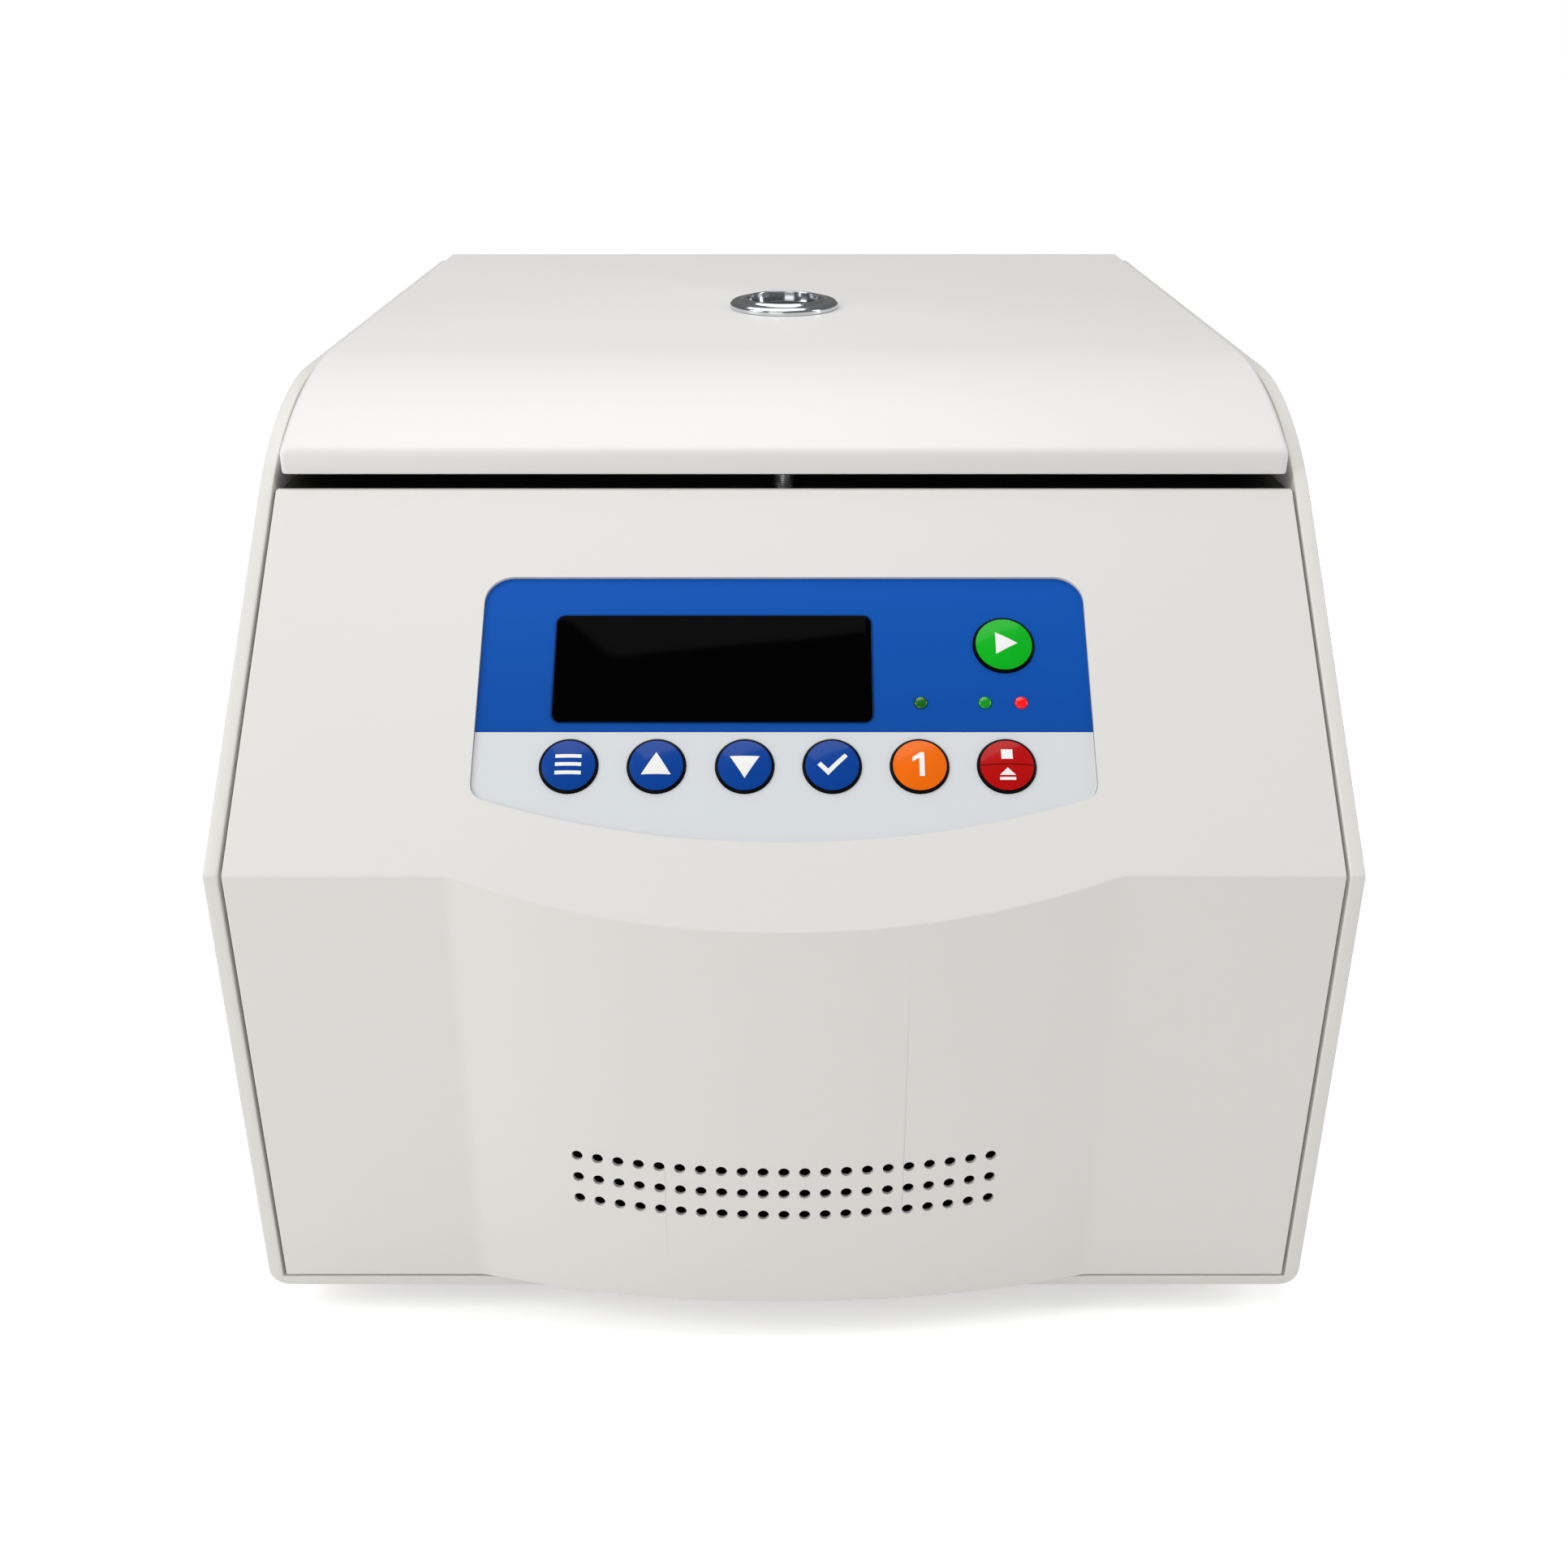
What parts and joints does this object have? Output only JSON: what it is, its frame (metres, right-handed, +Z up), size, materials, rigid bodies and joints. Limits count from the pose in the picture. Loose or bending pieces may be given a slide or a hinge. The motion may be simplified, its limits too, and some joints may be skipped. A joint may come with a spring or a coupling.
{
  "type": "bench centrifuge",
  "caption": "High-speed bench centrifuge: box case with side walls, sloping keypad panel over a bowed vented front, hinged lid with sight glass, fixed-angle rotor in a steel bowl.",
  "frame": {"origin": "under the middle of the machine, on the plane that its feet stand on", "axes": "+X to the right seen from the front, +Y to the back, +Z up"},
  "size_m": [0.38, 0.4862, 0.3245],
  "materials": {
    "case_paint": "fine powder coat",
    "panel_plastic": "moulded satin",
    "liner_plastic": "moulded satin",
    "overlay_blue": "printed film",
    "overlay_pale": "printed film",
    "black_window": "polished",
    "board_green": "solder mask",
    "dark_plastic": "moulded",
    "bright_chrome": "polished",
    "steel": "plain",
    "rubber": "moulded",
    "aluminium": "machined",
    "lock_plastic": "moulded",
    "button_green": "domed",
    "button_blue": "domed",
    "button_orange": "domed",
    "button_red": "domed",
    "lamp_green": "clear dome",
    "lamp_red": "clear dome"
  },
  "bodies": {
    "housing": {"outer_case": "case_paint", "front_panel": "panel_plastic", "keypad_upper_overlay": "overlay_blue", "keypad_lower_overlay": "overlay_pale", "display_window": "black_window", "display_module": "board_green", "keypad_board": "board_green", "key_switches": "dark_plastic", "hinge_brackets": "steel", "hinge_pins": "steel", "hinge_beam": "steel", "top_deck": "liner_plastic", "deck_rails": "steel", "chamber_bowl": "steel", "chamber_seal": "rubber", "guard_ring": "steel", "guard_posts": "steel", "base_plate": "steel", "rubber_feet": "rubber", "foot_screws": "steel", "motor_isolators": "rubber", "motor_plate": "steel", "drive_motor": "aluminium", "motor_boot": "rubber", "lock_housing": "lock_plastic", "back_panel": "case_paint", "rear_screws": "steel", "fan_frame": "dark_plastic", "power_inlet": "dark_plastic", "switch_frame": "dark_plastic", "board_standoffs": "steel", "power_board": "board_green", "heat_sink": "aluminium", "ready_lamp": "lamp_green", "run_lamp": "lamp_green", "stop_lamp": "lamp_red"},
    "lid": {"lid_cover": "panel_plastic", "lid_liner": "liner_plastic", "sight_glass_bezel": "bright_chrome", "sight_glass_window": "black_window", "striker_post": "bright_chrome", "hinge_arms": "steel"},
    "rotor_spindle": {"drive_shaft": "steel", "rotor": "aluminium"},
    "rotor_cap": {"rotor_lid": "aluminium", "rotor_knob": "dark_plastic"},
    "lock_slide": {"lock_bolt": "steel"},
    "fan_wheel": {"fan_impeller": "dark_plastic"},
    "rocker": {"power_rocker": "dark_plastic"},
    "fuse_holder": {"fuse_drawer": "dark_plastic"},
    "start_key": {"start_button": "button_green"},
    "set_key": {"set_button": "button_blue"},
    "up_key": {"up_button": "button_blue"},
    "down_key": {"down_button": "button_blue"},
    "ok_key": {"ok_button": "button_blue"},
    "preset_key": {"preset_button": "button_orange"},
    "stop_key": {"stop_button": "button_red"}
  },
  "joints": [
    {"name": "lid_hinge", "type": "hinge", "parent": "housing", "child": "lid", "pos_m": [0, 0.21915, 0.295], "axis": [-1, 0, 0], "range_deg": [0, 75]},
    {"name": "rotor_spin", "type": "hinge", "parent": "housing", "child": "rotor_spindle", "pos_m": [0, 0.06315, 0.24286], "axis": [0, 0, 1], "continuous": true},
    {"name": "rotor_lid_lift", "type": "slide", "parent": "rotor_spindle", "child": "rotor_cap", "axis": [0, 0, 1], "range_m": [0, 0.02]},
    {"name": "bolt_slide", "type": "slide", "parent": "housing", "child": "lock_slide", "axis": [-1, 0, 0], "range_m": [0, 0.0095]},
    {"name": "fan_spin", "type": "hinge", "parent": "housing", "child": "fan_wheel", "pos_m": [-0.095, 0.22515, 0.132], "axis": [0, 1, 0], "continuous": true},
    {"name": "rocker_tip", "type": "hinge", "parent": "housing", "child": "rocker", "pos_m": [0.06, 0.23715, 0.072], "axis": [-1, 0, 0], "range_deg": [0, 16]},
    {"name": "fuse_pull", "type": "slide", "parent": "housing", "child": "fuse_holder", "axis": [0, 1, 0], "range_m": [0, 0.015]},
    {"name": "start_press", "type": "slide", "parent": "housing", "child": "start_key", "axis": [0, 0.6743, -0.7385], "range_m": [0, 0.0008], "stiffness_N_per_m": 800, "springref_m": -0.0003},
    {"name": "set_press", "type": "slide", "parent": "housing", "child": "set_key", "axis": [0, 0.6743, -0.7385], "range_m": [0, 0.0008], "stiffness_N_per_m": 800, "springref_m": -0.0003},
    {"name": "up_press", "type": "slide", "parent": "housing", "child": "up_key", "axis": [0, 0.6743, -0.7385], "range_m": [0, 0.0008], "stiffness_N_per_m": 800, "springref_m": -0.0003},
    {"name": "down_press", "type": "slide", "parent": "housing", "child": "down_key", "axis": [0, 0.6743, -0.7385], "range_m": [0, 0.0008], "stiffness_N_per_m": 800, "springref_m": -0.0003},
    {"name": "ok_press", "type": "slide", "parent": "housing", "child": "ok_key", "axis": [0, 0.6743, -0.7385], "range_m": [0, 0.0008], "stiffness_N_per_m": 800, "springref_m": -0.0003},
    {"name": "preset_press", "type": "slide", "parent": "housing", "child": "preset_key", "axis": [0, 0.6743, -0.7385], "range_m": [0, 0.0008], "stiffness_N_per_m": 800, "springref_m": -0.0003},
    {"name": "stop_press", "type": "slide", "parent": "housing", "child": "stop_key", "axis": [0, 0.6743, -0.7385], "range_m": [0, 0.0008], "stiffness_N_per_m": 800, "springref_m": -0.0003}
  ]
}
